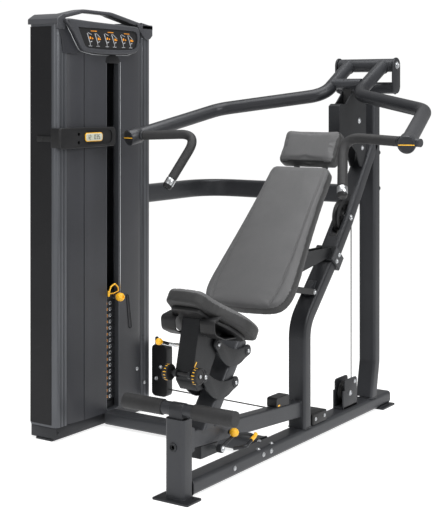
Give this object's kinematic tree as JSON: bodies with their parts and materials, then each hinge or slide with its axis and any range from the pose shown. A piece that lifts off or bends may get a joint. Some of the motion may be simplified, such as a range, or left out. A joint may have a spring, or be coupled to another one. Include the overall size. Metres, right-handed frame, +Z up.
{
  "type": "chest press machine",
  "caption": "Selectorised seated chest press with a side weight tower, converging press arms on a high pivot, reclined back and head pads, an adjustable tilted seat and a foot bar.",
  "frame": {"origin": "on the floor under the front post, on the centre plane of the bench, at the flat resting face floor_contact", "axes": "+Z up, the user sits facing -Y, the weight tower stands at -X"},
  "size_m": [1.7308, 1.736, 1.857],
  "materials": {
    "frame_powder_coat": "satin",
    "black_plastic": "matte",
    "grip_rubber": "matte",
    "upholstery": "matte",
    "shroud_plastic": "satin",
    "chrome": "polished",
    "stack_steel": "satin",
    "cable_black": "satin",
    "yellow_accent": "gloss",
    "placard_print": "satin",
    "fastener_steel": "brushed",
    "yellow_paint": "satin"
  },
  "bodies": {
    "frame": {"front_post": "frame_powder_coat", "front_rail": "frame_powder_coat", "rear_rail": "frame_powder_coat", "rail_end_cap": "black_plastic", "cross_base_tube": "frame_powder_coat", "foot_bar": "frame_powder_coat", "foot_sleeve_left": "grip_rubber", "foot_sleeve_right": "grip_rubber", "incline_leg": "frame_powder_coat", "rear_upright": "frame_powder_coat", "rear_brace": "frame_powder_coat", "rail_pulley_box": "black_plastic", "seat_beam": "frame_powder_coat", "beam_stop_block": "black_plastic", "seat_post": "frame_powder_coat", "back_pad": "upholstery", "back_board": "black_plastic", "head_pad": "upholstery", "back_bracket": "frame_powder_coat", "back_strut": "black_plastic", "pivot_yoke": "frame_powder_coat", "pulley_housing": "black_plastic", "floor_pulley_bracket": "frame_powder_coat", "vertical_cable": "cable_black", "cross_cable": "cable_black", "pedal_bracket": "black_plastic", "tower_base": "frame_powder_coat", "tower_front_column": "frame_powder_coat", "tower_rear_column": "frame_powder_coat", "top_handle": "shroud_plastic", "back_shroud": "shroud_plastic", "front_shroud": "shroud_plastic", "placard_hood": "shroud_plastic", "placard": "placard_print", "counter_band": "black_plastic", "counter_display": "placard_print", "guide_rods": "chrome", "weight_stack": "stack_steel", "lift_cable": "cable_black", "tower_pulley_box": "black_plastic"},
    "press_arm": {"press_frame": "frame_powder_coat", "hand_grip_left": "grip_rubber", "hand_grip_right": "grip_rubber", "grip_end_left": "chrome", "grip_end_right": "chrome"},
    "lift_strap": {"lift_strap": "cable_black"},
    "upper_pulley": {"upper_pulley": "black_plastic"},
    "leg_pulley": {"leg_pulley": "black_plastic"},
    "floor_pulley": {"floor_pulley": "black_plastic"},
    "upper_link": {"upper_link": "frame_powder_coat"},
    "lower_link": {"lower_link": "frame_powder_coat"},
    "seat": {"seat_carrier": "frame_powder_coat", "angle_indicator": "black_plastic", "seat_pad": "upholstery", "seat_pan": "black_plastic"},
    "seat_lever": {"seat_lever": "chrome"},
    "pedal": {"pedal": "frame_powder_coat"},
    "head_plate": {"head_plate": "stack_steel"},
    "selector_pin": {"selector_pin": "yellow_accent"}
  },
  "joints": [
    {"name": "press_arm_hinge", "type": "hinge", "parent": "frame", "child": "press_arm", "pos_m": [0, 1.548, 1.617], "axis": [-1, 0, 0], "range_deg": [0, 38]},
    {"name": "lift_strap_hinge", "type": "hinge", "parent": "press_arm", "child": "lift_strap", "pos_m": [0, 1.352, 1.53], "axis": [-1, 0, 0], "range_deg": [-38, 0]},
    {"name": "upper_pulley_spin", "type": "hinge", "parent": "frame", "child": "upper_pulley", "pos_m": [0, 1.41, 1.362], "axis": [-1, 0, 0], "range_deg": [0, 150]},
    {"name": "leg_pulley_spin", "type": "hinge", "parent": "frame", "child": "leg_pulley", "pos_m": [0, 1.305, 0.928], "axis": [1, 0, 0], "range_deg": [0, 300]},
    {"name": "floor_pulley_spin", "type": "hinge", "parent": "frame", "child": "floor_pulley", "pos_m": [0, 1.326, 0.131], "axis": [1, 0, 0], "range_deg": [0, 460]},
    {"name": "stack_slide", "type": "slide", "parent": "frame", "child": "head_plate", "axis": [0, 0, 1], "range_m": [0, 0.4], "deforming": ["lift_cable"]},
    {"name": "selector_pull", "type": "slide", "parent": "head_plate", "child": "selector_pin", "axis": [1, 0, 0], "range_m": [0, 0.05]},
    {"name": "upper_link_hinge", "type": "hinge", "parent": "frame", "child": "upper_link", "pos_m": [0, 0.427, 0.482], "axis": [-1, 0, 0], "range_deg": [-14, 16]},
    {"name": "lower_link_hinge", "type": "hinge", "parent": "frame", "child": "lower_link", "pos_m": [0, 0.339, 0.375], "axis": [-1, 0, 0], "range_deg": [-14, 16]},
    {"name": "seat_level_hinge", "type": "hinge", "parent": "upper_link", "child": "seat", "pos_m": [0, 0.221, 0.542], "axis": [-1, 0, 0], "range_deg": [-16, 14]},
    {"name": "seat_lever_hinge", "type": "hinge", "parent": "seat", "child": "seat_lever", "pos_m": [-0.06, 0.128, 0.54], "axis": [-1, 0, 0], "range_deg": [0, 20], "stiffness_Nm_per_rad": 1, "springref_deg": -5.73},
    {"name": "pedal_hinge", "type": "hinge", "parent": "frame", "child": "pedal", "pos_m": [0.05, 0.236, 0.146], "axis": [-1, 0, 0], "range_deg": [0, 12], "stiffness_Nm_per_rad": 6, "springref_deg": -20.05}
  ],
  "couplings": [
    {"joint": "lift_strap_hinge", "follows": "press_arm_hinge", "ratio": -1},
    {"joint": "upper_pulley_spin", "follows": "press_arm_hinge", "ratio": 3.8},
    {"joint": "leg_pulley_spin", "follows": "press_arm_hinge", "ratio": 7.7},
    {"joint": "floor_pulley_spin", "follows": "press_arm_hinge", "ratio": 12},
    {"joint": "stack_slide", "follows": "press_arm_hinge", "m_per_rad": 0.6},
    {"joint": "lower_link_hinge", "follows": "upper_link_hinge", "ratio": 1},
    {"joint": "seat_level_hinge", "follows": "upper_link_hinge", "ratio": -1}
  ]
}
